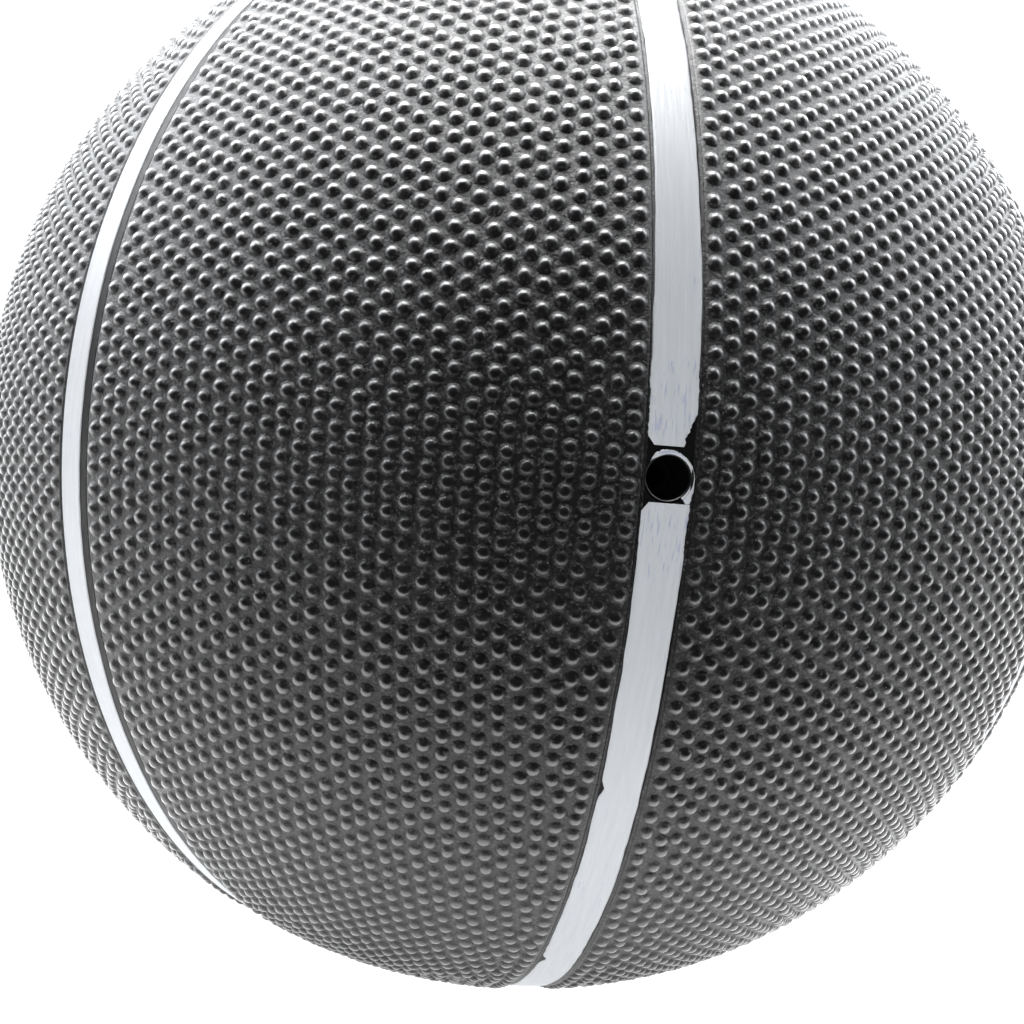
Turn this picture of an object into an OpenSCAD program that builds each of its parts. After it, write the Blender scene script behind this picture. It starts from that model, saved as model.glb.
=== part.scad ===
// Mini basketball, size 3, with an eight-panel moulded rubber cover.
// The origin is the centre of the ball. The inflation valve is on the -Y axis.
// The valve seam is the great circle in the plane X = 0, and the cross seam the one in the plane Y = 0.
// The two oval seams go round the +X and -X poles.

/* [Ball] */
// radius over the tops of the pebbles, mm
ball_r = 88.9; // [70:0.1:125]
// thickness of the cover panels, mm
cover_t = 1.5; // [1.2:0.1:3]
// thickness of the carcass rubber under the cover, mm
carcass_t = 0.7; // [0.5:0.1:2]
// thickness of the nylon thread winding, mm
winding_t = 0.3; // [0.2:0.1:1]
// wall of the bladder, mm
bladder_t = 0.5; // [0.4:0.1:1.5]

/* [Channels] */
// width of a channel between two panels, mm
channel_w = 6.35; // [4:0.05:8]
// depth of a channel below the pebble tops, mm
channel_depth = 0.75; // [0.4:0.05:1]
// half width of an oval seam, front to back, as a share of the ball's radius
oval_half_width = 0.61; // [0.5:0.001:0.7]
// half height of an oval seam, as a share of the ball's radius
oval_half_height = 0.935; // [0.88:0.001:0.96]
// number of straight sides that each oval is cut with
oval_sides = 100; // [60:4:160]

/* [Valve] */
// diameter of the hole through the ball's layers, which the valve neck fills, mm
neck_d = 6; // [5:0.1:8]
// bore of the valve neck, mm
neck_bore_d = 5.2; // [4:0.1:7]
// depth of the neck's rim below the channel floor, mm
neck_recess = 0.3; // [0.1:0.05:0.6]
// depth from the neck's rim to the face of the core, mm
socket_depth = 6; // [3:0.1:7]
// diameter of the flange inside the bladder, mm
flange_d = 22; // [16:1:30]
// thickness of the flange, mm
flange_t = 1.2; // [0.8:0.1:2]
// diameter of the valve's body inside the bladder, mm
body_d = 10.5; // [9.5:0.1:14]
// diameter of the reinforcing patch, mm
patch_d = 24; // [18:1:30]
// thickness of the reinforcing patch, mm
patch_t = 0.4; // [0.2:0.05:0.4]

/* [Valve core] */
// diameter of the core's stem and of the bore that holds it, mm
stem_d = 4.4; // [3.8:0.1:4.6]
// diameter of the guide hole for an inflating needle, mm
needle_d = 2.2; // [1.8:0.1:2.6]
// depth of the straight part of the guide hole, mm
needle_depth = 5; // [3:0.5:6]
// diameter of the bulb that keeps the core in its pocket, mm
bulb_d = 7; // [6:0.1:8]
// length of the core, mm
core_len = 12; // [10:0.5:15]

/* [Hidden] */
floor_r = ball_r - channel_depth;
carcass_r = ball_r - cover_t;
winding_r = carcass_r - carcass_t;
bladder_r = winding_r - winding_t;
inner_r = bladder_r - bladder_t;
flange_r = inner_r - flange_t;
rim_z = floor_r - neck_recess;
core_z = rim_z - socket_depth;
bulb_h = core_len / 3;
lead_in = 0.6;
air_hole_d = 4;
seat_t = 1;
far = 2 * ball_r;
half_edge = channel_w / 2 / ball_r * 180 / PI;
$fn = 200;

rubber_black = [0.09, 0.09, 0.095];
channel_black = [0.16, 0.16, 0.165];
cord_white = [0.82, 0.8, 0.74];
butyl_grey = [0.25, 0.25, 0.26];
valve_tan = [0.3, 0.28, 0.25];

// ---- the oval seam, as directions from the centre of the ball ----

// direction of the oval's centre line at angle t, which starts at the top
function oval_point(t) =
    let (y = oval_half_width * sin(t), z = oval_half_height * cos(t))
    [sqrt(1 - y * y - z * z), y, z];

function unit(v) = v / norm(v);

// direction of travel along the oval at angle t
function oval_tangent(t) = unit(oval_point(t + 0.5) - oval_point(t - 0.5));

// direction of a channel edge: side is +1 for the outer edge and -1 for the inner one
function oval_edge(t, side) =
    let (c = oval_point(t), across = unit(cross(c, oval_tangent(t))))
    c * cos(half_edge) + across * side * sin(half_edge);

// cone from the ball's centre through a closed ring of directions, capped beyond the surface
module radial_cone(ring, middle) {
    n = len(ring);
    polyhedron(
        points = concat([[0, 0, 0], far * unit(middle)], [for (d = ring) far * unit(d)]),
        faces = concat(
            [for (i = [0 : n - 1]) [0, 2 + i, 2 + (i + 1) % n]],
            [for (i = [0 : n - 1]) [1, 2 + (i + 1) % n, 2 + i]]
        )
    );
}

// everything inside the inner edge of the right-hand oval channel
module inside_oval() {
    radial_cone([for (i = [0 : oval_sides - 1]) oval_edge(360 * i / oval_sides, -1)], [1, 0, 0]);
}

// everything between the outer edge of the back half of the oval channel and the plane X = 0
module beside_oval() {
    radial_cone(
        concat(
            [[0, 0, 1], [0, 1, 0], [0, 0, -1]],
            [for (i = [oval_sides / 2 : -1 : 0]) oval_edge(360 * i / oval_sides, 1)]
        ),
        [0.4, 0.9, 0]
    );
}

// everything between the top of the ball and the outer edge at the top of the oval channel
module above_oval() {
    radial_cone(
        concat(
            [[-0.1, -0.2, 1], [-0.1, 0.2, 1]],
            [for (i = [3 : -1 : -3]) oval_edge(360 * i / oval_sides, 1)]
        ),
        [0.15, 0, 1]
    );
}

// band between the two edges of the right-hand oval channel, from below its floor to above it
module oval_band() {
    n = oval_sides;
    low = 0.9 * ball_r;
    high = 1.1 * ball_r;
    polyhedron(
        points = [
            for (i = [0 : n - 1])
                for (side = [-1, 1])
                    for (r = [low, high]) r * oval_edge(360 * i / n, side)
        ],
        faces = [
            for (i = [0 : n - 1])
                let (a = 4 * i, b = 4 * ((i + 1) % n))
                each [
                    [a, a + 1, b + 1], [a, b + 1, b],
                    [a + 2, b + 3, a + 3], [a + 2, b + 2, b + 3],
                    [a, b + 2, a + 2], [a, b, b + 2],
                    [a + 1, a + 3, b + 3], [a + 1, b + 3, b + 1]
                ]
        ]
    );
}

// ---- building blocks ----

// hollow ball between two radii
module shell(outer, inner) {
    difference() {
        sphere(r = outer);
        sphere(r = inner);
    }
}

// the quarter of space with x > 0 and y > 0, cut back to the channel edges
module quarter() {
    translate([channel_w / 2, channel_w / 2, -far])
        cube([far, far, 2 * far]);
}

// turns something built along +Z to the valve's axis, -Y
module at_valve() {
    rotate([90, 0, 0]) children();
}

// hole for the valve neck through a layer
module neck_hole() {
    at_valve()
        translate([0, 0, inner_r - 5]) cylinder(d = neck_d, h = 15);
}

// ---- cover panels, built for the right and the back, then mirrored ----

module main_panel() {
    color(rubber_black)
        intersection() {
            shell(ball_r, carcass_r);
            quarter();
            beside_oval();
        }
}

module side_panel() {
    color(rubber_black)
        intersection() {
            shell(ball_r, carcass_r);
            inside_oval();
            translate([0, channel_w / 2, -far])
                cube([far, far, 2 * far]);
        }
}

module panel_back_right() main_panel();
module panel_back_left() mirror([1, 0, 0]) main_panel();
module panel_front_right() mirror([0, 1, 0]) main_panel();
module panel_front_left() mirror([1, 0, 0]) mirror([0, 1, 0]) main_panel();
module side_panel_right_back() side_panel();
module side_panel_left_back() mirror([1, 0, 0]) side_panel();
module side_panel_right_front() mirror([0, 1, 0]) side_panel();
module side_panel_left_front() mirror([1, 0, 0]) mirror([0, 1, 0]) side_panel();

// ---- seam strips, the floors of the channels ----

module seam_ring() {
    color(channel_black)
        difference() {
            rotate([0, 90, 0])
                intersection() {
                    shell(floor_r, carcass_r);
                    cube([2 * far, 2 * far, channel_w], center = true);
                }
            neck_hole();
        }
}

module seam_oval() {
    color(channel_black)
        intersection() {
            shell(floor_r, carcass_r);
            oval_band();
        }
}

module seam_oval_right() seam_oval();
module seam_oval_left() mirror([1, 0, 0]) seam_oval();

// piece of the cross seam between the ring and an oval, at the top right
module seam_short() {
    color(channel_black)
        intersection() {
            shell(floor_r, carcass_r);
            translate([channel_w / 2, -channel_w / 2, 0])
                cube([far, channel_w, far]);
            above_oval();
        }
}

module seam_short_top_right() seam_short();
module seam_short_top_left() mirror([1, 0, 0]) seam_short();
module seam_short_bottom_right() mirror([0, 0, 1]) seam_short();
module seam_short_bottom_left() mirror([1, 0, 0]) mirror([0, 0, 1]) seam_short();

// piece of the cross seam inside the right-hand oval
module seam_long() {
    color(channel_black)
        intersection() {
            shell(floor_r, carcass_r);
            inside_oval();
            translate([0, -channel_w / 2, -far])
                cube([far, channel_w, 2 * far]);
        }
}

module seam_long_right() seam_long();
module seam_long_left() mirror([1, 0, 0]) seam_long();

// ---- layers under the cover ----

module carcass() {
    color(channel_black)
        difference() {
            shell(carcass_r, winding_r);
            neck_hole();
            intersection() {
                shell(winding_r + patch_t, winding_r - 1);
                patch_column();
            }
        }
}

module winding() {
    color(cord_white)
        difference() {
            shell(winding_r, bladder_r);
            neck_hole();
        }
}

module bladder() {
    color(butyl_grey)
        difference() {
            shell(bladder_r, inner_r);
            neck_hole();
        }
}

module patch_column() {
    at_valve() cylinder(d = patch_d, h = far);
}

// dished disc that lies on the winding round the valve, let into the carcass
module valve_patch() {
    color(channel_black)
        difference() {
            intersection() {
                shell(winding_r + patch_t, winding_r);
                patch_column();
            }
            neck_hole();
        }
}

// ---- valve ----

// flange under the bladder wall, neck out to the channel and a body that hangs inside
module valve_housing() {
    color(valve_tan)
        difference() {
            union() {
                intersection() {
                    shell(inner_r, flange_r);
                    at_valve() cylinder(d = flange_d, h = far);
                }
                at_valve() {
                    translate([0, 0, flange_r - 1])
                        cylinder(d = neck_d, h = rim_z - flange_r + 1);
                    translate([0, 0, core_z - core_len - seat_t])
                        cylinder(d = body_d, h = flange_r - core_z + core_len + seat_t + flange_t / 3);
                }
            }
            at_valve() {
                translate([0, 0, core_z]) cylinder(d = neck_bore_d, h = far);
                translate([0, 0, core_z - core_len + bulb_h])
                    cylinder(d = stem_d, h = far);
                translate([0, 0, core_z - core_len])
                    cylinder(d = bulb_d, h = bulb_h);
                translate([0, 0, core_z - core_len - 2 * seat_t])
                    cylinder(d = air_hole_d, h = 3 * seat_t);
            }
        }
}

// self-sealing plug: a stem in the neck's bore, a bulb in the pocket and a blind guide hole
module valve_core() {
    color(rubber_black)
        at_valve()
            difference() {
                union() {
                    translate([0, 0, core_z - core_len + bulb_h])
                        cylinder(d = stem_d, h = core_len - bulb_h);
                    translate([0, 0, core_z - core_len])
                        cylinder(d = bulb_d, h = bulb_h);
                }
                translate([0, 0, core_z - lead_in - needle_depth])
                    cylinder(d = needle_d, h = needle_depth + lead_in + 1);
                translate([0, 0, core_z - lead_in])
                    cylinder(d1 = needle_d, d2 = needle_d + 2 * lead_in, h = lead_in);
            }
}

panel_front_left();
panel_front_right();
panel_back_left();
panel_back_right();
side_panel_left_front();
side_panel_left_back();
side_panel_right_front();
side_panel_right_back();
seam_ring();
seam_oval_left();
seam_oval_right();
seam_short_top_left();
seam_short_top_right();
seam_short_bottom_left();
seam_short_bottom_right();
seam_long_left();
seam_long_right();
carcass();
winding();
bladder();
valve_patch();
valve_housing();
valve_core();
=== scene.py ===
import math

import bpy
import numpy as np
from mathutils import Matrix, Vector


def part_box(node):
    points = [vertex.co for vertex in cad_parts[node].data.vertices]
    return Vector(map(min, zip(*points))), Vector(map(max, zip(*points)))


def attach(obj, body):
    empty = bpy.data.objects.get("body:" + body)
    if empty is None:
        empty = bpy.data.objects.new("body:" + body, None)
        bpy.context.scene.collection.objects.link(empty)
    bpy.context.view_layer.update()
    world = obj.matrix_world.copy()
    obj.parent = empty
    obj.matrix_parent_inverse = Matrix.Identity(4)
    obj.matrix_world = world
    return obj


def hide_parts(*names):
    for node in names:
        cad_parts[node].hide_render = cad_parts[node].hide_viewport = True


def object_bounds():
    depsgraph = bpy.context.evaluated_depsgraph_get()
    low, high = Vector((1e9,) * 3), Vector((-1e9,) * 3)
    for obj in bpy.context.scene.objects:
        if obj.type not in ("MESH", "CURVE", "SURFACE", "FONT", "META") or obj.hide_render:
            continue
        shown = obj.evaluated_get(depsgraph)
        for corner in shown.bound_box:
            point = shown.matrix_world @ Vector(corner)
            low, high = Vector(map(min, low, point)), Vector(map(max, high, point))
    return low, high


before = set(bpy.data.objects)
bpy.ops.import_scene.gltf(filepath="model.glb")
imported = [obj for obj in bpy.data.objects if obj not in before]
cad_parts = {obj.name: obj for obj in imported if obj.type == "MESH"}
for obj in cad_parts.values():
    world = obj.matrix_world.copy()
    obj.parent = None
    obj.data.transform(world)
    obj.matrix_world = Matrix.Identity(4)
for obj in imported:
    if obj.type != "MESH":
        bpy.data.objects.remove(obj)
cad_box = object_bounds()

bl_info = {
    "name": "Mini basketball",
    "version": (1, 0, 0),
    "blender": (4, 5, 0),
    "location": "View3D > Sidebar > Ball",
    "description": "Pebbled rubber ball with painted channels and an inflation valve",
    "category": "Object",
}

MM = 0.001
RING_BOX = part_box("seam_ring")
BALL_R = cad_box[1][2]
FLOOR_R = RING_BOX[1][2]
CHANNEL_W = RING_BOX[1][0] - RING_BOX[0][0]
NECK_RIM = -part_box("valve_housing")[0][1]
NECK_END = -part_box("valve_housing")[1][1]
CORE_FACE = -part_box("valve_core")[0][1]
CORE_END = -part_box("valve_core")[1][1]


def length_prop(name, description, default):
    return bpy.props.FloatProperty(name=name, description=description, default=default,
                                   unit="LENGTH", subtype="DISTANCE", precision=5)


def share_prop(name, description, default):
    return bpy.props.FloatProperty(name=name, description=description, default=default,
                                   min=0.0, max=1.0, subtype="FACTOR")


def colour_prop(name, description, default):
    return bpy.props.FloatVectorProperty(name=name, description=description, default=default,
                                         size=3, min=0.0, max=1.0, subtype="COLOR")


class BallSizes(bpy.types.PropertyGroup):
    """Sizes of the cover, its pebbles, the channels and the paint."""
    pebble_pitch: length_prop("Pebble pitch", "Distance between neighbouring pebbles", 2.62 * MM)
    pebble_width: length_prop("Pebble width", "Width of a pebble at its foot", 1.98 * MM)
    pebble_height: length_prop("Pebble height", "Height of a pebble over the land", 0.55 * MM)
    pebble_margin: length_prop("Pebble margin", "From a channel edge to the nearest centres", 1.45 * MM)
    oval_half_width: share_prop("Oval half width", "Half width of an oval seam, in ball radii", 0.61)
    oval_half_height: share_prop("Oval half height", "Half height of an oval seam, in ball radii", 0.935)
    paint_half: length_prop("Paint half width", "Half the width of the paint in the ring channel", 2.66 * MM)
    paint_coat: length_prop("Paint thickness", "Thickness of the paint on the channel floor", 0.10 * MM)


class BallColours(bpy.types.PropertyGroup):
    """Colours of the finishes."""
    rubber: colour_prop("Cover rubber", "Colour of the pebbled cover", (0.0028, 0.0028, 0.0032))
    channel: colour_prop("Channel rubber", "Colour of the bare channel", (0.0032, 0.0032, 0.0032))
    paint: colour_prop("Channel paint", "Colour of the paint in the channels", (0.490, 0.510, 0.540))
    thread: colour_prop("Thread", "Colour of the winding", (0.70, 0.68, 0.61))
    bladder: colour_prop("Bladder", "Colour of the bladder", (0.035, 0.035, 0.037))
    floor: colour_prop("Floor", "Colour of the studio floor", (0.60, 0.60, 0.61))


# ---------------------------------------------------------------- shader maths

class Sock:
    """A node socket that adds Math nodes when it is used in an expression."""

    def __init__(self, tree, socket):
        self.tree, self.socket = tree, socket

    def node(self, kind, inputs=None, out=0, **settings):
        """Adds a node with its settings first and its socket values or links after."""
        n = self.tree.nodes.new(kind)
        stops = settings.pop("stops", None)
        for key, value in settings.items():
            setattr(n, key, value)
        if stops:
            ramp = n.color_ramp
            for i, (pos, col) in enumerate(stops):
                stop = ramp.elements[i] if i < 2 else ramp.elements.new(pos)
                stop.position, stop.color = pos, col
        for key, value in (inputs or {}).items():
            if isinstance(value, Sock):
                self.tree.links.new(value.socket, n.inputs[key])
            elif value is not None:
                n.inputs[key].default_value = value
        return Sock(self.tree, n.outputs[out])

    def math(self, operation, other=None, third=None, swap=False, clamp=False):
        a, b = (other, self) if swap else (self, other)
        return self.node("ShaderNodeMath", {0: a, 1: b, 2: third}, operation=operation, use_clamp=clamp)

    def __add__(self, o): return self.math("ADD", o)
    def __radd__(self, o): return self.math("ADD", o, swap=True)
    def __sub__(self, o): return self.math("SUBTRACT", o)
    def __rsub__(self, o): return self.math("SUBTRACT", o, swap=True)
    def __mul__(self, o): return self.math("MULTIPLY", o)
    def __rmul__(self, o): return self.math("MULTIPLY", o, swap=True)
    def __truediv__(self, o): return self.math("DIVIDE", o)

    def power(self, o): return self.math("POWER", o)
    def absolute(self): return self.math("ABSOLUTE")
    def clamp(self): return self.math("ADD", 0.0, clamp=True)

    def ramp(self, low, high):
        """0 at low and under, 1 at high and over, smooth between."""
        return self.node("ShaderNodeMapRange", {"Value": self, "From Min": low, "From Max": high},
                         interpolation_type="SMOOTHSTEP")

    def noise(self, scale, detail=2.0, rough=0.5):
        return self.node("ShaderNodeTexNoise", {"Vector": self, "Scale": scale, "Detail": detail,
                                                "Roughness": rough})

    def cells(self, scale, feature="F1"):
        return self.node("ShaderNodeTexVoronoi", {"Vector": self, "Scale": scale}, feature=feature)

    def stretch(self, x, y, z):
        return self.node("ShaderNodeVectorMath", {0: self, 1: (x, y, z)}, operation="MULTIPLY")

    def parts(self):
        n = self.node("ShaderNodeSeparateXYZ", {0: self})
        return [Sock(self.tree, n.socket.node.outputs[i]) for i in range(3)]

    def length(self):
        return self.node("ShaderNodeVectorMath", {0: self}, out="Value", operation="LENGTH")

    def mix(self, a, b):
        """Colour a where this is 0 and colour b where it is 1."""
        paint = [v if isinstance(v, Sock) else (*v, 1.0) for v in (a, b)]
        return self.node("ShaderNodeMix", {"Factor": self, 6: paint[0], 7: paint[1]}, out=2,
                         data_type="RGBA")

    def bump(self, distance, strength=1.0, normal=None):
        return self.node("ShaderNodeBump", {"Height": self, "Distance": distance, "Strength": strength,
                                            "Normal": normal})


def finish(name, colour=None, roughness=None, normal=None, coat=None, glow=None, **plain):
    """A new principled material; what varies over it is given as functions of the coordinates."""
    mat = bpy.data.materials.new(name)
    mat.use_nodes = True
    tree = mat.node_tree
    shader = tree.nodes["Principled BSDF"]
    coords = tree.nodes.new("ShaderNodeTexCoord")
    obj = Sock(tree, coords.outputs["Object"])
    uv = Sock(tree, coords.outputs["UV"])
    for key, value in plain.items():
        shader.inputs[key.replace("_", " ").title().replace("Ior", "IOR")].default_value = value
    for key, make in (("Base Color", colour), ("Roughness", roughness), ("Normal", normal),
                      ("Coat Weight", coat), ("Emission Color", glow)):
        if callable(make):
            tree.links.new(make(obj, uv).socket, shader.inputs[key])
        elif make is not None:
            shader.inputs[key].default_value = (*make, 1.0) if key == "Base Color" else make
    return mat


def shade(c, k):
    return tuple(min(1.0, v * k) for v in c)


def cover_material(colours):
    """Black moulded rubber: matte land with fine grain, and pebble tops polished by handling; the light
    flecks on the land are partly painted sheen.
    """
    sizes = bpy.context.scene.ball_sizes
    land = BALL_R - sizes.pebble_height

    def top(p):
        return p.length().ramp(land + 0.3 * sizes.pebble_height, BALL_R - 0.02 * MM)

    def colour(p, uv):
        dust = 1 - p.cells(900.0).ramp(0.05, 0.11)
        patch = p.noise(260.0, 3.0).ramp(0.56, 0.66)
        # light grey flecks on the land, fewer on the pebble tops: partly specks, partly painted sheen that
        # lightens the land as its grainy reflections do
        flecks_and_sheen = p.noise(1900.0, 3.0, 0.75).ramp(0.53, 0.68) * (1 - top(p) * 0.75)
        base = p.noise(55.0, 3.0).ramp(0.3, 0.7).mix(shade(colours.rubber, 0.7), shade(colours.rubber, 1.3))
        return (dust * patch * 0.5).mix((flecks_and_sheen * 0.6).mix(base, (0.088, 0.088, 0.092)), (0.28, 0.28, 0.27))

    def rough(p, uv):
        return 0.44 - top(p) * 0.13 + (p.noise(1700.0, 3.0, 0.7) - 0.5) * 0.45 * (1 - top(p) * 0.6)

    def normal(p, uv):
        grain = p.noise(2300.0, 3.0, 0.75) + p.noise(1100.0, 2.0, 0.5) * 0.6
        return (grain * (1.0 - top(p) * 0.62)).bump(0.15 * MM, 1.0)

    return finish("cover_rubber", colour, rough, normal, lambda p, uv: top(p) * 0.7,
                  specular_ior_level=0.30, coat_roughness=0.22)


def channel_material(colours):
    """Bare black rubber of the channel floors, with drawn mould lines beside the seam."""
    def colour(p, uv):
        return p.noise(300.0, 3.0).mix(shade(colours.channel, 0.7), shade(colours.channel, 1.4))

    def rough(p, uv):
        return 0.42 + (p.noise(500.0, 2.0) - 0.5) * 0.2

    def normal(p, uv):
        lines = p.stretch(6.0, 0.35, 0.35).noise(700.0, 2.0, 0.6)
        return (lines * 0.7 + p.noise(2600.0, 2.0) * 0.3).bump(0.06 * MM, 0.8)

    return finish("channel_rubber", colour, rough, normal, specular_ior_level=0.06)


def paint_material(colours):
    """Silver-grey brushed enamel: streaks run along the seam, with a few dark bristle marks."""
    def streaks(uv, along, across):
        return uv.stretch(across, along, 1.0).noise(1.0, 3.0, 0.55)

    def colour(p, uv):
        soft = streaks(uv, 120.0, 1500.0).mix(shade(colours.paint, 0.86), shade(colours.paint, 1.13))
        near = 1 - p.node("ShaderNodeVectorMath", {0: p, 1: (0.0, -FLOOR_R, 0.0)}, out="Value",
                          operation="DISTANCE").ramp(8 * MM, 17 * MM)
        marks = (streaks(uv, 300.0, 3400.0) + near * 0.075).ramp(0.63, 0.70)
        place = (p.noise(70.0, 2.0) + near * 0.3).ramp(0.52, 0.62)
        return (marks * place * 0.7).mix(soft, shade((0.60, 0.66, 1.00), colours.paint[0]))

    def rough(p, uv):
        return 0.42 + streaks(uv, 90.0, 900.0) * 0.16

    def normal(p, uv):
        return (streaks(uv, 160.0, 2600.0) + p.noise(1500.0, 2.0) * 0.35).bump(0.10 * MM, 0.8)

    return finish("channel_paint", colour, rough, normal)


def plain_rubber(name, tone, rough, grain=900.0, depth=0.05 * MM):
    return finish(
        name,
        lambda p, uv: p.noise(180.0, 3.0).mix(shade(tone, 0.75), shade(tone, 1.3)),
        lambda p, uv: rough + (p.noise(300.0, 2.0) - 0.5) * 0.14,
        lambda p, uv: p.noise(grain, 3.0).bump(depth, 0.6))


def winding_material(colours):
    """Nylon thread laid round the bladder in great circles that cross one another."""
    def lay(p, axis, turns):
        v = p.node("ShaderNodeVectorRotate", {"Vector": p, "Rotation": axis}, rotation_type="EULER_XYZ")
        return (v.parts()[2] * (turns / BALL_R)).math("SINE")

    def height(p):
        a, b, c = (lay(p, r, 260.0) for r in ((0.0, 0.0, 0.0), (1.2, 0.4, 0.0), (0.5, 1.3, 0.7)))
        return a.math("MAXIMUM", b).math("MAXIMUM", c)

    def colour(p, uv):
        # the thread is painted darker where its surface is low, between the turns: painted shade in the
        # grooves
        return height(p).ramp(0.2, 0.95).mix(shade(colours.thread, 0.45), colours.thread)

    return finish("winding_thread", colour, lambda p, uv: 0.75 - height(p) * 0.1,
                  lambda p, uv: height(p).bump(0.12 * MM, 0.8))


# ---------------------------------------------------------------- lines on the ball

def unit(v):
    return v / np.linalg.norm(v, axis=-1, keepdims=True)


class Seams:
    """The seam layout as directions from the centre of the ball."""

    def __init__(self, sizes):
        self.a, self.b = sizes.oval_half_width, sizes.oval_half_height
        self.half = CHANNEL_W / 2

    def oval(self, t):
        y, z = self.a * np.sin(t), self.b * np.cos(t)
        return np.stack([np.sqrt(1 - y * y - z * z), y, z], -1)

    def oval_offset(self, t, offset):
        """Direction at angle t, moved away from the +X pole by offset metres."""
        c = self.oval(t)
        along = unit(self.oval(t + 0.01) - self.oval(t - 0.01))
        out = unit(np.cross(c, along))
        ang = np.asarray(offset)[..., None] / BALL_R
        return c * np.cos(ang) + out * np.sin(ang)

    def oval_distance(self, p):
        """How far directions p lie outside the centre line of the right-hand oval, in metres."""
        t = np.linspace(0, 2 * np.pi, 721)[:-1]
        line = self.oval(t)
        dots = p @ line.T
        near = np.argmax(dots, axis=1)
        along = unit(self.oval(t[near] + 0.01) - self.oval(t[near] - 0.01))
        out = unit(np.cross(line[near], along))
        return np.arcsin(np.clip(np.sum(p * out, 1), -1, 1)) * BALL_R

    def depth(self, p, side):
        """Distance from each direction to the nearest channel edge of its panel, negative outside."""
        oval = self.oval_distance(p)
        cross = p[:, 1] * BALL_R - self.half
        if side:
            return np.minimum(-oval - self.half, cross)
        return np.minimum(np.minimum(oval - self.half, cross), p[:, 0] * BALL_R - self.half)


def resample(points, step):
    """The closed line on the ball through points, in a multiple of four even steps of about step metres."""
    loop = np.vstack([points, points[:1]])
    run = np.concatenate([[0], np.cumsum(np.linalg.norm(np.diff(loop, axis=0), axis=1))])
    n = 4 * int(run[-1] * BALL_R / step / 4)
    s = np.linspace(0, run[-1], n + 1)[:-1]
    return unit(np.stack([np.interp(s, run, loop[:, k]) for k in range(3)], -1))


def panel_edge(seams, side, step):
    """The panel's rim for the right-hand back quarter, anticlockwise from outside, corners rounded."""
    h = seams.half / BALL_R
    t = np.linspace(0.0, np.pi, 2001)
    oval = seams.oval_offset(t, np.full(len(t), -seams.half if side else seams.half))
    oval = oval[oval[:, 1] >= h]
    if side:
        z = np.linspace(oval[-1, 2], oval[0, 2], 400)[1:-1]
        line = np.stack([np.sqrt(1 - h * h - z * z), np.full_like(z, h), z], -1)
        points = np.vstack([oval, line])
    else:
        top = math.sqrt(1 - 2 * h * h)
        z = np.linspace(-top, top, 800)
        ring = np.stack([np.full_like(z, h), np.sqrt(np.maximum(1 - h * h - z * z, h * h)), z], -1)
        x = np.linspace(oval[-1, 0], h, 60)[1:-1]
        low = np.stack([x, np.full_like(x, h), -np.sqrt(1 - h * h - x * x)], -1)
        high = low[::-1] * (1, 1, -1)
        points = np.vstack([oval, low, ring, high])
    fine = resample(points, 0.2 * MM)
    reach = np.arange(-9, 10)
    weight = np.exp(-0.5 * (reach / 3.2) ** 2)
    soft = sum(w * np.roll(fine, -k, axis=0) for k, w in zip(reach, weight)) / weight.sum()
    edge = resample(unit(soft), step)
    area = np.sum(np.cross(edge, np.roll(edge, -1, 0)), 0) @ edge.mean(0)
    return edge if area > 0 else edge[::-1]


def inward(edge):
    """Unit vectors along the surface, from each rim point into the panel."""
    along = unit(np.roll(edge, -1, 0) - np.roll(edge, 1, 0))
    return unit(np.cross(edge, along))


def spread_pebbles(seams, side, sizes, seed):
    """Pebble centres: a hexagonal start, then neighbours push each other apart up to the rim."""
    rng = np.random.default_rng(seed)
    pitch = sizes.pebble_pitch
    middle = unit(np.array([0.88, 0.48, 0.0] if side else [0.38, 0.92, 0.0]))
    east = unit(np.cross([0, 0, 1.0], middle))
    north = np.cross(middle, east)
    turn = rng.uniform(0, np.pi)
    n = int(2.1 * BALL_R / pitch)
    i, j = np.meshgrid(np.arange(-n, n), np.arange(-n, n))
    u = (i + 0.5 * (j % 2)).ravel() * pitch / BALL_R
    v = j.ravel() * math.sqrt(0.75) * pitch / BALL_R
    u, v = u * math.cos(turn) - v * math.sin(turn), u * math.sin(turn) + v * math.cos(turn)
    rho = np.hypot(u, v)
    keep = rho < 1.95
    u, v, rho = u[keep], v[keep], rho[keep]
    ang = 2 * np.arcsin(rho / 2)
    head = np.arctan2(v, u)
    p = (np.cos(ang)[:, None] * middle
         + np.sin(ang)[:, None] * (np.cos(head)[:, None] * east + np.sin(head)[:, None] * north))
    p = p[seams.depth(p, side) > sizes.pebble_margin - 0.22 * pitch]
    p = unit(p + rng.normal(0, 0.17 * pitch / BALL_R, p.shape))
    reach = 1.22 * pitch / BALL_R
    for step in range(48):
        if step % 8 == 0:
            dots = (p @ p.T).astype(np.float32)
            a, b = np.nonzero(dots > math.cos(reach * 1.6))
            a, b = a[a != b], b[a != b]
        gap = p[a] - p[b]
        dist = np.linalg.norm(gap, axis=1)
        push = np.clip(1 - dist / reach, 0, 1) * reach * 0.28
        move = np.zeros_like(p)
        np.add.at(move, a, gap / (dist[:, None] + 1e-9) * push[:, None])
        p = unit(p + move)
        d = seams.depth(p, side) - sizes.pebble_margin
        out = d < 0
        if out.any():
            q = p[out]
            e = 1e-4
            slope = np.stack([(seams.depth(unit(q + e * k), side) - seams.depth(unit(q - e * k), side))
                              for k in np.eye(3)], -1)
            slope = slope / (np.linalg.norm(slope, axis=1, keepdims=True) + 1e-12)
            p[out] = unit(q - slope * (d[out] / BALL_R)[:, None])
    return unit(p + rng.normal(0, 0.045 * pitch / BALL_R, p.shape))


# ---------------------------------------------------------------- mesh helpers

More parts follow.
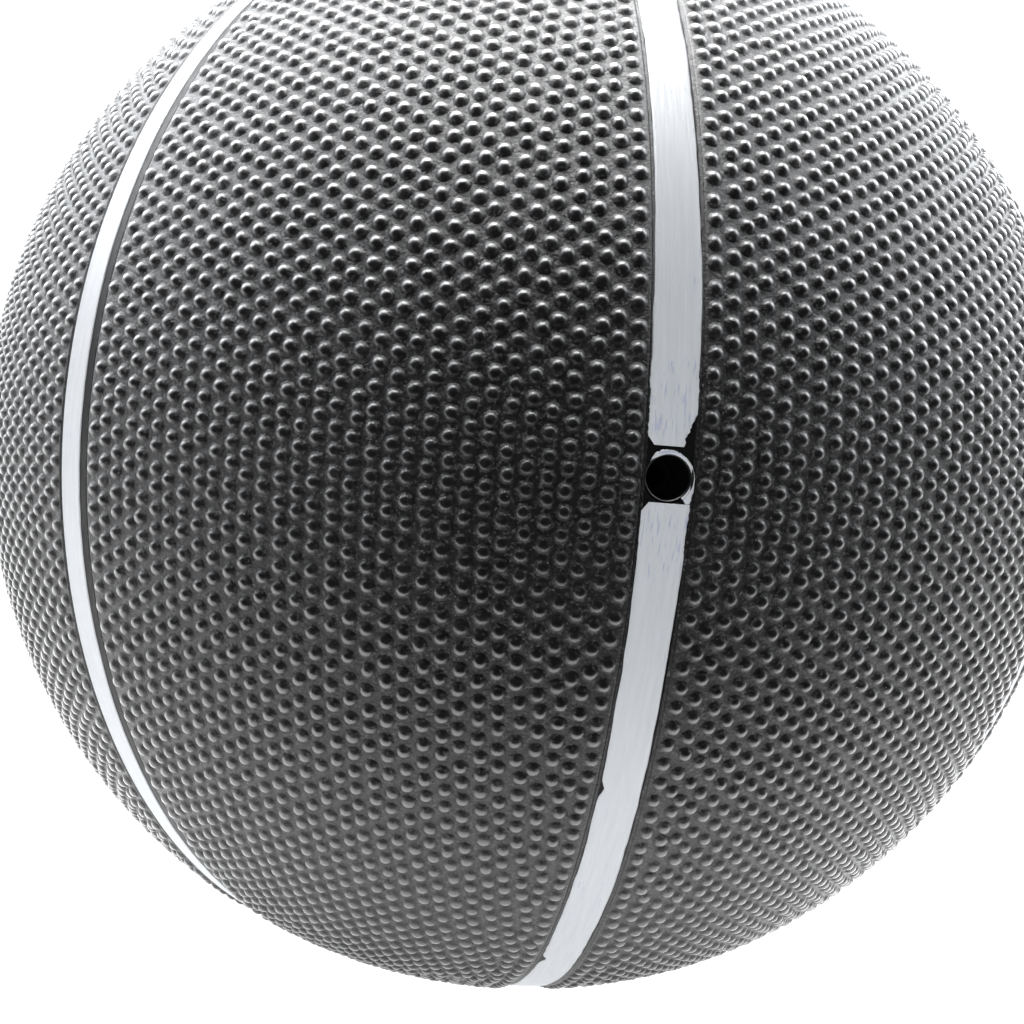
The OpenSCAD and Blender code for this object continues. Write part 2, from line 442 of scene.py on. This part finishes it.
def new_object(name, verts, faces, uvs=None, smooth=True):
    mesh = bpy.data.meshes.new(name)
    mesh.from_pydata([tuple(v) for v in verts], [], [tuple(f) for f in faces])
    mesh.update()
    if uvs is not None:
        layer = mesh.uv_layers.new(name="UVMap")
        loops = np.zeros(len(mesh.loops), np.int32)
        mesh.loops.foreach_get("vertex_index", loops)
        layer.data.foreach_set("uv", np.asarray(uvs)[loops].astype(np.float32).ravel())
    if smooth:
        mesh.polygons.foreach_set("use_smooth", [True] * len(mesh.polygons))
    obj = bpy.data.objects.new(name, mesh)
    bpy.context.scene.collection.objects.link(obj)
    return obj


def rings_to_faces(rings, count, closed=True):
    """Quads between rings of count points each, facing outwards when rings run anticlockwise inwards."""
    faces = []
    last = count if closed else count - 1
    for r in range(rings - 1):
        for i in range(last):
            k = (i + 1) % count
            faces.append((r * count + i, r * count + k, (r + 1) * count + k, (r + 1) * count + i))
    return faces


def lathe(name, profile, segments=96):
    """A solid of revolution about the valve's axis; profile is (radius, distance out along -Y)."""
    a = np.linspace(0, 2 * np.pi, segments + 1)[:-1]
    verts, faces = [], []
    rows = []
    for r, h in profile:
        if r < 1e-7:
            rows.append([len(verts)])
            verts.append((0, -h, 0))
        else:
            rows.append(list(range(len(verts), len(verts) + segments)))
            verts += [(r * math.cos(t), -h, r * math.sin(t)) for t in a]
    for lo, hi in zip(rows, rows[1:]):
        for i in range(segments):
            k = (i + 1) % segments
            quad = [lo[i % len(lo)], lo[k % len(lo)], hi[k % len(hi)], hi[i % len(hi)]]
            face = list(dict.fromkeys(quad))
            if len(face) > 2:
                faces.append(face)
    return new_object(name, verts, faces)


def plain_mesh(obj):
    """Turns an object with modifiers into one with a plain mesh."""
    deps = bpy.context.evaluated_depsgraph_get()
    mesh = bpy.data.meshes.new_from_object(obj.evaluated_get(deps))
    obj.modifiers.clear()
    old = obj.data
    obj.data = mesh
    bpy.data.meshes.remove(old)
    mesh.name = obj.name


def place(obj, slot, material=None, *nodes):
    """Gives a finished piece its material and body, and hides the CAD nodes that it stands for; the slot
    argument is not used.
    """
    if material:
        obj.data.materials.clear()
        obj.data.materials.append(material)
    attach(obj, "root")
    if nodes:
        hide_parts(*nodes)


# ---------------------------------------------------------------- cover panels

def pebble_tree():
    """Geometry nodes: pebbles stood on points of the panel, joined to its skin."""
    tree = bpy.data.node_groups.new("pebbled_panel", "GeometryNodeTree")
    face = tree.interface
    face.new_socket("Skin", in_out="INPUT", socket_type="NodeSocketGeometry")
    ids = {}
    for name, kind, value in (("Centres", "NodeSocketObject", None), ("Pebble", "NodeSocketObject", None),
                              ("Pebble width", "NodeSocketFloat", 0.002),
                              ("Pebble height", "NodeSocketFloat", 0.0004),
                              ("Width variation", "NodeSocketFloat", 0.07),
                              ("Height variation", "NodeSocketFloat", 0.08),
                              ("Seed", "NodeSocketInt", 0), ("Material", "NodeSocketMaterial", None)):
        socket = face.new_socket(name, in_out="INPUT", socket_type=kind)
        if value is not None:
            socket.default_value = value
        ids[name] = socket.identifier
    face.new_socket("Panel", in_out="OUTPUT", socket_type="NodeSocketGeometry")
    new, link = tree.nodes.new, tree.links.new
    inp, out = new("NodeGroupInput"), new("NodeGroupOutput")
    centres, pebble = new("GeometryNodeObjectInfo"), new("GeometryNodeObjectInfo")
    link(inp.outputs["Centres"], centres.inputs["Object"])
    link(inp.outputs["Pebble"], pebble.inputs["Object"])
    where = new("GeometryNodeInputPosition")
    stand = new("FunctionNodeAlignRotationToVector")
    stand.axis = "Z"
    link(where.outputs[0], stand.inputs["Vector"])
    spin = new("FunctionNodeRandomValue")
    spin.data_type = "FLOAT"
    spin.inputs[2].default_value, spin.inputs[3].default_value = 0.0, 2 * math.pi
    link(inp.outputs["Seed"], spin.inputs["Seed"])
    turn = new("FunctionNodeAxisAngleToRotation")
    link(spin.outputs[1], turn.inputs["Angle"])
    both = new("FunctionNodeRotateRotation")
    both.rotation_space = "LOCAL"
    link(stand.outputs[0], both.inputs[0])
    link(turn.outputs[0], both.inputs[1])

    def vary(size, variation, seed_add):
        rand = new("FunctionNodeRandomValue")
        rand.data_type = "FLOAT"
        rand.inputs[2].default_value, rand.inputs[3].default_value = -1.0, 1.0
        add = new("ShaderNodeMath")
        add.operation = "ADD"
        add.inputs[1].default_value = seed_add
        link(inp.outputs["Seed"], add.inputs[0])
        link(add.outputs[0], rand.inputs["Seed"])
        scaled = new("ShaderNodeMath")
        scaled.operation = "MULTIPLY_ADD"
        scaled.inputs[2].default_value = 1.0
        link(rand.outputs[1], scaled.inputs[0])
        link(inp.outputs[variation], scaled.inputs[1])
        result = new("ShaderNodeMath")
        result.operation = "MULTIPLY"
        link(scaled.outputs[0], result.inputs[0])
        link(inp.outputs[size], result.inputs[1])
        return result.outputs[0]

    wide_a = vary("Pebble width", "Width variation", 11)
    wide_b = vary("Pebble width", "Width variation", 23)
    high = vary("Pebble height", "Height variation", 37)
    scale = new("ShaderNodeCombineXYZ")
    for k, s in enumerate((wide_a, wide_b, high)):
        link(s, scale.inputs[k])
    put = new("GeometryNodeInstanceOnPoints")
    link(centres.outputs["Geometry"], put.inputs["Points"])
    link(pebble.outputs["Geometry"], put.inputs["Instance"])
    link(both.outputs[0], put.inputs["Rotation"])
    link(scale.outputs[0], put.inputs["Scale"])
    real = new("GeometryNodeRealizeInstances")
    join = new("GeometryNodeJoinGeometry")
    look = new("GeometryNodeSetMaterial")
    link(put.outputs[0], join.inputs[0])
    link(inp.outputs["Skin"], join.inputs[0])
    link(join.outputs[0], real.inputs[0])
    link(real.outputs[0], look.inputs["Geometry"])
    link(inp.outputs["Material"], look.inputs["Material"])
    link(look.outputs[0], out.inputs[0])
    return tree, ids


def pebble_shape():
    """One pebble of unit width and height: a dome whose foot flares into the land."""
    sides = 10
    profile = ((0.21, 0.90), (0.37, 0.58), (0.48, 0.15), (0.61, -0.09))
    verts = [(0, 0, 1.0)]
    for r, z in profile:
        verts += [(r * math.cos(2 * math.pi * i / sides), r * math.sin(2 * math.pi * i / sides), z)
                  for i in range(sides)]
    faces = [(0, 1 + i, 1 + (i + 1) % sides) for i in range(sides)]
    faces += [tuple(1 + k for k in f[::-1])
              for f in rings_to_faces(len(profile), sides)]
    return new_object("pebble", verts, faces)


def panel_skin(name, seams, side, flip):
    """The panel's land and its rim, which rolls over into the channel and ends in thin mould flash."""
    sizes = bpy.context.scene.ball_sizes
    land = -sizes.pebble_height / MM
    floor = (FLOOR_R - BALL_R) / MM
    rim = [(-0.46, floor - 0.12), (-0.40, floor + 0.03), (-0.33, floor - 0.01), (-0.26, floor + 0.09),
           (-0.18, floor + 0.02), (-0.09, floor + 0.05), (-0.03, floor + 0.10), (0.01, land - 0.16),
           (0.07, land - 0.05), (0.18, land + 0.01), (0.36, land + 0.03), (0.7, land), (1.4, land)]
    edge = panel_edge(seams, side, 1.15 * MM)
    into = inward(edge)
    n = len(edge)
    rng = np.random.default_rng(5 + side)
    rough = np.convolve(np.tile(rng.normal(0, 1, n), 3), np.ones(3) / 3, "same")[n:2 * n]
    rows = []
    for k, (s, h) in enumerate(rim):
        waver = 0.030 * rough * (k < 6) if k else 0.0
        ang = (s + waver) * MM / BALL_R
        ang = np.broadcast_to(ang, (n,))[:, None]
        d = edge * np.cos(ang) + into * np.sin(ang)
        rows.append(d * (BALL_R + (h + 0.5 * np.broadcast_to(waver, (n,))[:, None]) * MM))
    verts = list(np.vstack(rows))
    faces = rings_to_faces(len(rows), n)
    # from this point the whole rim is in sight, so the rings never fold
    middle = unit(np.array([0.88, 0.48, 0.0] if side else [0.13, 0.99, 0.0]))
    last = unit(rows[-1])
    ring = list(range(len(verts) - n, len(verts)))
    steps = 26
    for step in range(1, steps):
        keep = slice(None, None, 2) if step in (1, 2) else slice(None)
        last = last[keep]
        f = step / steps
        reach = np.arccos(np.clip(last @ middle, -1, 1))[:, None]
        new = (last * np.sin((1 - f) * reach) + middle * np.sin(f * reach)) / np.sin(reach)
        start = len(verts)
        verts += list(new * (BALL_R + land * MM))
        inner = list(range(start, start + len(new)))
        m = len(inner)
        for i in range(m):
            k = (i + 1) % m
            if len(ring) == 2 * m:
                faces += [(ring[2 * i], ring[2 * i + 1], inner[i]),
                          (ring[2 * i + 1], ring[2 * k], inner[k], inner[i])]
            else:
                faces.append((ring[i], ring[k], inner[k], inner[i]))
        ring = inner
    tip = len(verts)
    verts.append(middle * (BALL_R + land * MM))
    faces += [(ring[i], ring[(i + 1) % len(ring)], tip) for i in range(len(ring))]
    verts = np.array(verts)
    verts = verts * flip
    if flip[0] * flip[1] < 0:
        faces = [f[::-1] for f in faces]
    return new_object(name, verts, faces)


class BALL_OT_cover_panels(bpy.types.Operator):
    """Builds the eight pebbled cover panels"""
    bl_idname = "mini_ball.cover_panels"
    bl_label = "Cover panels"

    def execute(self, context):
        sizes = context.scene.ball_sizes
        seams = Seams(sizes)
        material = cover_material(context.scene.ball_colours)
        tree, ids = pebble_tree()
        dome = pebble_shape()
        for side in (False, True):
            for x, across in ((-1, "left"), (1, "right")):
                for y, depth in ((-1, "front"), (1, "back")):
                    node = f"side_panel_{across}_{depth}" if side else f"panel_{depth}_{across}"
                    seed = 100 + 8 * side + 4 * (x > 0) + 2 * (y > 0)
                    flip = np.array([x, y, 1.0])
                    centres = spread_pebbles(seams, side, sizes, seed) * flip
                    points = new_object("centres", centres * (BALL_R - sizes.pebble_height), [])
                    panel = panel_skin("cover_" + node, seams, side, flip)
                    mod = panel.modifiers.new("Pebbles", "NODES")
                    mod.node_group = tree
                    for key, value in (("Centres", points), ("Pebble", dome), ("Seed", seed),
                                       ("Pebble width", sizes.pebble_width),
                                       ("Pebble height", sizes.pebble_height),
                                       ("Material", material)):
                        mod[ids[key]] = value
                    plain_mesh(panel)
                    panel.data.polygons.foreach_set("use_smooth", [True] * len(panel.data.polygons))
                    bpy.data.objects.remove(points)
                    place(panel, "cover_rubber", material, node)
        bpy.data.objects.remove(dome)
        return {"FINISHED"}


# ---------------------------------------------------------------- seams and paint

def paint_band(name, centre, across, low, high, coat, closed, run):
    """A coat of paint along a line: centre and across are unit vectors, low and high its edges in metres."""
    n = len(centre)
    shape = ((0.0, -0.25), (0.0, 0.55), (0.035, 1.15), (0.10, 1.2), (0.2, 0.95), (0.35, 1.0), (0.5, 1.0),
             (0.65, 1.0), (0.8, 0.95), (0.90, 1.2), (0.965, 1.15), (1.0, 0.55), (1.0, -0.25))
    verts, uvs = [], []
    for i in range(n):
        for u, h in shape:
            s = low[i] + (high[i] - low[i]) * u
            ang = s / BALL_R
            d = centre[i] * math.cos(ang) + across[i] * math.sin(ang)
            verts.append(d * (FLOOR_R + coat * h))
            uvs.append((s, run[i]))
    m = len(shape)
    faces = []
    for i in range(n if closed else n - 1):
        k = (i + 1) % n
        for j in range(m - 1):
            faces.append((i * m + j, i * m + j + 1, k * m + j + 1, k * m + j))
    if not closed:
        faces.append(tuple(range(m))[::-1])
        faces.append(tuple((n - 1) * m + j for j in range(m)))
    obj = new_object(name, verts, faces, uvs)
    return obj


def paint_rim(name, coat):
    """Paint that has run round the valve hole: over the top of its rim and down its right side."""
    turn = np.radians(np.linspace(142, -52, 90))
    outer = np.interp(np.degrees(-turn), (-142, -125, -105, -60, -20, 10, 30, 46, 52),
                      (2.9, 3.30, 3.28, 3.08, 3.04, 3.14, 3.45, 3.9, 3.7)) * MM
    inner = np.interp(np.degrees(-turn), (-142, -120, -60, 0, 52), (2.86, 2.68, 2.72, 2.80, 2.78)) * MM
    rng = np.random.default_rng(21)
    outer += rng.normal(0, 0.035 * MM, len(turn))
    wall = np.minimum(outer - 0.02 * MM, 3.02 * MM)
    verts, uvs = [], []
    for t, r0, r1, r2 in zip(turn, inner, wall, outer):
        for r, h in ((r0, NECK_RIM - 0.05 * MM), (r0 + 0.02 * MM, NECK_RIM + coat * 0.8),
                     (r1 - 0.05 * MM, NECK_RIM + coat), (r1, FLOOR_R + coat * 0.9),
                     (0.5 * (r1 + r2), FLOOR_R + coat), (r2, FLOOR_R + coat * 0.6),
                     (r2, FLOOR_R - 0.03 * MM)):
            verts.append((r * math.cos(t), -math.sqrt(h * h - r * r), r * math.sin(t)))
            uvs.append((r, t * 3 * MM))
    m, n = 7, len(turn)
    faces = [(i * m + j, (i + 1) * m + j, (i + 1) * m + j + 1, i * m + j + 1)
             for i in range(n - 1) for j in range(m - 1)]
    faces += [tuple(range(m)), tuple((n - 1) * m + j for j in reversed(range(m)))]
    return new_object(name, verts, faces, uvs)


def waver(n, seed, size, smooth):
    """Uneven brush edge: smooth noise of the given size in metres along n stations, closed."""
    rng = np.random.default_rng(seed)
    x = rng.normal(0, 1, n)
    k = np.exp(-0.5 * (np.arange(-3 * smooth, 3 * smooth + 1) / smooth) ** 2)
    y = np.convolve(np.tile(x, 3), k / math.sqrt((k ** 2).sum()), "same")[n:2 * n]
    return y * size


class BALL_OT_channel_paint(bpy.types.Operator):
    """Lays the paint in the channels and finishes the strips under it"""
    bl_idname = "mini_ball.channel_paint"
    bl_label = "Channel paint"

    def execute(self, context):
        sizes, colours = context.scene.ball_sizes, context.scene.ball_colours
        seams = Seams(sizes)
        material = paint_material(colours)
        bare = channel_material(colours)
        for name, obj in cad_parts.items():
            if name.startswith("seam_"):
                obj.data.materials.clear()
                obj.data.materials.append(bare)
        half, coat = sizes.paint_half, sizes.paint_coat

        # ring: from just under the valve hole, round the back, to just over it
        below, above = 2.95 * MM, 3.68 * MM
        ang = np.concatenate([
            np.linspace(below, 9 * MM, 60)[:-1] / BALL_R,
            np.linspace(9 * MM / BALL_R, 2 * np.pi - 12 * MM / BALL_R, 860)[:-1],
            2 * np.pi - np.linspace(12 * MM, above, 80) / BALL_R])
        n = len(ang)
        centre = np.stack([np.zeros(n), -np.cos(ang), -np.sin(ang)], -1)
        across = np.tile([1.0, 0, 0], (n, 1))
        up = (2 * np.pi - ang) * BALL_R / MM
        down = ang * BALL_R / MM
        wide = 0.24 * MM * (np.exp(-((up - 15) / 15) ** 4) + np.exp(-(down / 8) ** 4))
        low = -half - 0.10 * MM - wide + waver(n, 3, 0.05 * MM, 6) + waver(n, 4, 0.025 * MM, 1)
        high = half - 0.05 * MM + wide + waver(n, 5, 0.05 * MM, 6) + waver(n, 6, 0.025 * MM, 1)
        chip = np.interp(up, (3.5, 4.7, 5.2, 7.2, 7.9), (1.60, 1.66, 1.95, 2.70, 3.2)) * MM
        high = np.minimum(high, chip + waver(n, 8, 0.05 * MM, 1))
        low = np.maximum(low, np.interp(up, (3.5, 4.7, 5.2), (-1.9, -2.85, -3.2)) * MM)
        low = np.maximum(low, np.interp(down, (2.95, 3.9, 4.3), (-2.15, -2.85, -3.2)) * MM)
        for at, deep, reach in ((40.3, 0.55, 0.9), (80.5, 0.75, 1.0)):
            low = low + deep * MM * np.exp(-((down - at) / reach) ** 2) * (down < 120)
        place(paint_band("paint_ring", centre, across, low, high, coat, False, ang * BALL_R),
              "channel_rubber", material)
        place(paint_rim("paint_valve_rim", coat), "channel_rubber", material)

        # ovals: the coat lies against the wall on the pole side
        n = 560
        t = np.linspace(0, 2 * np.pi, n + 1)[:-1]
        c = seams.oval(t)
        along = unit(seams.oval(t + 0.01) - seams.oval(t - 0.01))
        out = unit(np.cross(c, along))
        run = np.concatenate([[0], np.cumsum(np.linalg.norm(np.diff(c, axis=0), axis=1))]) * BALL_R
        for x, across_name in ((-1, "left"), (1, "right")):
            low = -2.85 * MM + waver(n, 13 + x, 0.02 * MM, 5)
            high = 1.54 * MM + waver(n, 17 + x, 0.05 * MM, 6) + waver(n, 19 + x, 0.015 * MM, 1)
            flip = np.array([x, 1, 1.0])
            obj = paint_band("paint_oval_" + across_name, c * flip, out * flip, low, high, coat, True, run)
            if x > 0:
                obj.data.flip_normals()
            place(obj, "channel_rubber", material)

        # cross seam: four short bands by the poles and two long ones inside the ovals
        inner = seams.oval_offset(np.array([0.0]), np.array([-seams.half]))[0]
        outer = seams.oval_offset(np.array([0.0]), np.array([seams.half]))[0]
        edge_in, edge_out = math.atan2(inner[0], inner[2]), math.atan2(outer[0], outer[2])
        first = (seams.half + 0.15 * MM) / BALL_R
        spans = [("long", edge_in + 0.002, np.pi - edge_in - 0.002),
                 ("short_top", first, edge_out - 0.003),
                 ("short_bottom", np.pi - edge_out + 0.003, np.pi - first)]
        for x, across_name in ((-1, "left"), (1, "right")):
            for k, (kind, a0, a1) in enumerate(spans):
                n = max(16, int((a1 - a0) * BALL_R / (0.9 * MM)))
                ang = np.linspace(a0, a1, n)
                centre = np.stack([x * np.sin(ang), np.zeros(n), np.cos(ang)], -1)
                across = np.tile([0.0, 1.0, 0], (n, 1))
                low = -half + waver(n, 30 + k + x, 0.04 * MM, 3)
                high = half + waver(n, 40 + k + x, 0.04 * MM, 3)
                obj = paint_band(f"paint_cross_{kind}_{across_name}", centre, across, low, high, coat, False,
                                 ang * BALL_R)
                if x < 0:
                    obj.data.flip_normals()
                place(obj, "channel_rubber", material)
        return {"FINISHED"}


# ---------------------------------------------------------------- valve and inner layers

class BALL_OT_valve(bpy.types.Operator):
    """Builds the valve's neck with its rounded rim, its body and the core inside it"""
    bl_idname = "mini_ball.valve"
    bl_label = "Valve"

    def execute(self, context):
        rim, end = NECK_RIM, NECK_END
        r_out, r_in = 3.0 * MM, 2.6 * MM
        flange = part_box("valve_housing")[1][0]
        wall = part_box("bladder")[1][2]
        inner = wall - 0.5 * MM
        body = 5.25 * MM
        profile = [(2.0 * MM, end), (body - 0.4 * MM, end), (body, end + 0.4 * MM)]
        under = math.sqrt((inner - 1.2 * MM) ** 2 - body ** 2)
        profile += [(body, under - 0.4 * MM), (body + 0.5 * MM, under)]
        profile += [(r, math.sqrt((inner - 1.2 * MM) ** 2 - r * r))
                    for r in np.linspace(7 * MM, flange - 0.3 * MM, 4)]
        profile += [(flange, math.sqrt((inner - 0.6 * MM) ** 2 - flange ** 2))]
        profile += [(r, math.sqrt(inner ** 2 - r * r))
                    for r in np.linspace(flange - 0.3 * MM, r_out + 0.1 * MM, 5)]
        profile += [(r_out, inner + 0.2 * MM), (r_out, rim - 0.12 * MM), (r_out - 0.05 * MM, rim - 0.03 * MM),
                    (r_out - 0.14 * MM, rim), (r_in + 0.14 * MM, rim), (r_in + 0.04 * MM, rim - 0.04 * MM),
                    (r_in, rim - 0.14 * MM), (r_in, CORE_FACE), (2.2 * MM, CORE_FACE),
                    (2.2 * MM, CORE_END + 4 * MM), (3.5 * MM, CORE_END + 4 * MM), (3.5 * MM, CORE_END),
                    (2.0 * MM, CORE_END), (2.0 * MM, end)]
        neck = lathe("valve_neck", profile)
        place(neck, "valve_rubber", plain_rubber("valve_rubber", (0.0024, 0.0024, 0.0024), 0.30),
              "valve_housing")
        guide, lead = 1.1 * MM, 0.6 * MM
        core = lathe("valve_plug", [
            (0.0, CORE_END), (3.2 * MM, CORE_END), (3.5 * MM, CORE_END + 0.3 * MM),
            (3.5 * MM, CORE_END + 3.7 * MM), (3.2 * MM, CORE_END + 4 * MM), (2.2 * MM, CORE_END + 4 * MM),
            (2.2 * MM, CORE_FACE - 0.15 * MM), (2.08 * MM, CORE_FACE), (guide + lead, CORE_FACE),
            (guide, CORE_FACE - lead), (guide, CORE_FACE - 5.6 * MM), (0.7 * MM, CORE_FACE - 5.75 * MM),
            (0.0, CORE_FACE - 5.8 * MM)])
        place(core, "core_rubber", plain_rubber("core_rubber", (0.0016, 0.0016, 0.0016), 0.6), "valve_core")
        return {"FINISHED"}


class BALL_OT_inner_layers(bpy.types.Operator):
    """Finishes the carcass, the winding, the bladder and the patch round the valve"""
    bl_idname = "mini_ball.inner_layers"
    bl_label = "Inner layers"

    def execute(self, context):
        colours = context.scene.ball_colours
        looks = {
            "carcass": plain_rubber("carcass_rubber", (0.03, 0.03, 0.03), 0.62, 500.0, 0.12 * MM),
            "winding": winding_material(colours),
            "bladder": plain_rubber("bladder_rubber", tuple(colours.bladder), 0.36, 160.0, 0.05 * MM),
            "valve_patch": plain_rubber("patch_rubber", (0.032, 0.03, 0.029), 0.55, 700.0),
        }
        for node, material in looks.items():
            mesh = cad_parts[node].data
            mesh.materials.clear()
            mesh.materials.append(material)
        return {"FINISHED"}


# ---------------------------------------------------------------- studio

class BALL_OT_stage(bpy.types.Operator):
    """Sets out the floor, the soft light and the camera"""
    bl_idname = "mini_ball.stage"
    bl_label = "Studio"

    def execute(self, context):
        scene = context.scene
        scene.view_settings.view_transform = "Standard"
        colours = scene.ball_colours
        size, front, low = 3.0, -1.5 * BALL_R, cad_box[0][2]
        white = 1.15

        def card(name, near, inner, outer):
            """A floor sheet from near to the back, whose glow goes from inner under the ball to outer."""
            sheet = new_object(name, [(-size, near, low), (size, near, low), (size, size, low),
                                      (-size, size, low)], [(0, 1, 2, 3)])
            sheet.data.materials.append(finish(
                name, lambda p, uv: p.noise(9.0, 2.0).mix(shade(colours.floor, 0.985), colours.floor),
                lambda p, uv: 0.75 + p.noise(30.0) * 0.1, emission_strength=1.0,
                glow=lambda p, uv: p.length().ramp(1.05 * BALL_R, 1.4 * BALL_R).mix(
                    (inner,) * 3, (outer,) * 3)))
            sheet.visible_diffuse = False
            sheet.visible_shadow = False
            return sheet

        card("studio_floor", -size, white, white).visible_glossy = False
        # the mirrored floor shows only in reflections; its dimmer glow under the ball (1.5 against 3.5
        # further out) is a painted contact shadow
        card("mirrored_floor", front, 1.5, 3.5).visible_camera = False

        world = bpy.data.worlds.new("studio_world")
        scene.world = world
        world.use_nodes = True
        world.cycles_visibility.diffuse = False
        tree = world.node_tree
        sky = tree.nodes["Background"]
        way = Sock(tree, tree.nodes.new("ShaderNodeTexCoord").outputs["Generated"])
        facing = way.node("ShaderNodeVectorMath", {0: way, 1: (-0.18, -0.98, 0.06)}, out="Value",
                          operation="DOT_PRODUCT")
        x, _, z = way.parts()
        dark = (facing - z.absolute() * 0.35).ramp(-0.30, 0.35)
        wings = x.absolute().ramp(0.2, 0.7) * z.ramp(0.1, 0.7)
        wing_light = x.ramp(-0.1, 0.1).mix((18.0, 18.4, 18.9), (12.5, 12.8, 13.1))
        room = wings.mix((2.0, 2.04, 2.10), wing_light)
        mirrored = dark.mix(room, (0.01, 0.01, 0.01))
        seen = Sock(tree, tree.nodes.new("ShaderNodeLightPath").outputs["Is Camera Ray"])
        tree.links.new(seen.mix(mirrored, (1.1, 1.1, 1.1)).socket, sky.inputs["Color"])
        sky.inputs["Strength"].default_value = 1.0

        def soft_box(name, where, target, width, height, power, gloss=False):
            """A soft box that shows only in reflections (gloss) or lights only matt surfaces."""
            light = bpy.data.lights.new(name, "AREA")
            light.shape, light.size, light.size_y, light.energy = "RECTANGLE", width, height, power
            obj = bpy.data.objects.new(name, light)
            aim = (Vector(where) - Vector(target)).to_track_quat("Z", "Y")
            obj.matrix_world = Matrix.Translation(where) @ aim.to_matrix().to_4x4()
            obj.visible_glossy, obj.visible_diffuse = gloss, not gloss
            obj.visible_camera = False
            scene.collection.objects.link(obj)

        soft_box("top_gloss", (-0.06, 0.02, 0.60), (0, 0.02, 0), 0.62, 0.42, 21.5, gloss=True)
        soft_box("top_box", (-0.06, 0.02, 0.60), (0, 0.02, 0), 0.62, 0.42, 2.7)
        soft_box("front_box", (-0.11, -0.59, 0.04), (0, 0, 0), 0.50, 0.50, 1.9)
        soft_box("left_box", (-0.60, 0.0, 0.06), (0, 0, 0), 0.50, 0.50, 2.0)
        soft_box("right_box", (0.60, 0.0, 0.06), (0, 0, 0), 0.50, 0.50, 2.0)
        soft_box("floor_box", (0.0, 0.0, low - 0.01), (0, 0, 0), 1.20, 1.20, 3.6)
        soft_box("back_box", (0.0, 0.60, 0.06), (0, 0, 0), 0.50, 0.50, 1.6)

        camera_data = bpy.data.cameras.new("camera")
        camera_data.lens = 51.06
        camera_data.sensor_width = 36.0
        camera_data.clip_start = 0.005
        camera = bpy.data.objects.new("camera", camera_data)
        scene.collection.objects.link(camera)
        right = Vector((0.98139, -0.17170, 0.08035)).normalized()
        ahead = Vector((0.17932, 0.98253, -0.05871))
        ahead = (ahead - right * ahead.dot(right)).normalized()
        up = right.cross(ahead)
        eye = Vector((-0.5268, -2.8019, 0.0503)) * BALL_R
        camera.matrix_world = Matrix((
            (right.x, up.x, -ahead.x, eye.x), (right.y, up.y, -ahead.y, eye.y),
            (right.z, up.z, -ahead.z, eye.z), (0, 0, 0, 1)))
        scene.camera = camera
        return {"FINISHED"}


class BALL_PT_panel(bpy.types.Panel):
    """Lists the sizes, the colours and the steps that build the ball"""
    bl_idname = "BALL_PT_panel"
    bl_label = "Mini basketball"
    bl_space_type = "VIEW_3D"
    bl_region_type = "UI"
    bl_category = "Ball"

    def draw(self, context):
        for group in (context.scene.ball_sizes, context.scene.ball_colours):
            box = self.layout.box()
            for name in group.__annotations__:
                box.prop(group, name)
        for step in STEPS:
            self.layout.operator(step.bl_idname)


STEPS = (BALL_OT_cover_panels, BALL_OT_channel_paint, BALL_OT_valve, BALL_OT_inner_layers, BALL_OT_stage)
CLASSES = (BallSizes, BallColours, *STEPS, BALL_PT_panel)


def register():
    for cls in CLASSES:
        bpy.utils.register_class(cls)
    bpy.types.Scene.ball_sizes = bpy.props.PointerProperty(type=BallSizes)
    bpy.types.Scene.ball_colours = bpy.props.PointerProperty(type=BallColours)


def unregister():
    del bpy.types.Scene.ball_sizes
    del bpy.types.Scene.ball_colours
    for cls in reversed(CLASSES):
        bpy.utils.unregister_class(cls)


def main():
    register()
    for step in STEPS:
        group, name = step.bl_idname.split(".")
        getattr(getattr(bpy.ops, group), name)()


if __name__ == "__main__":
    main()
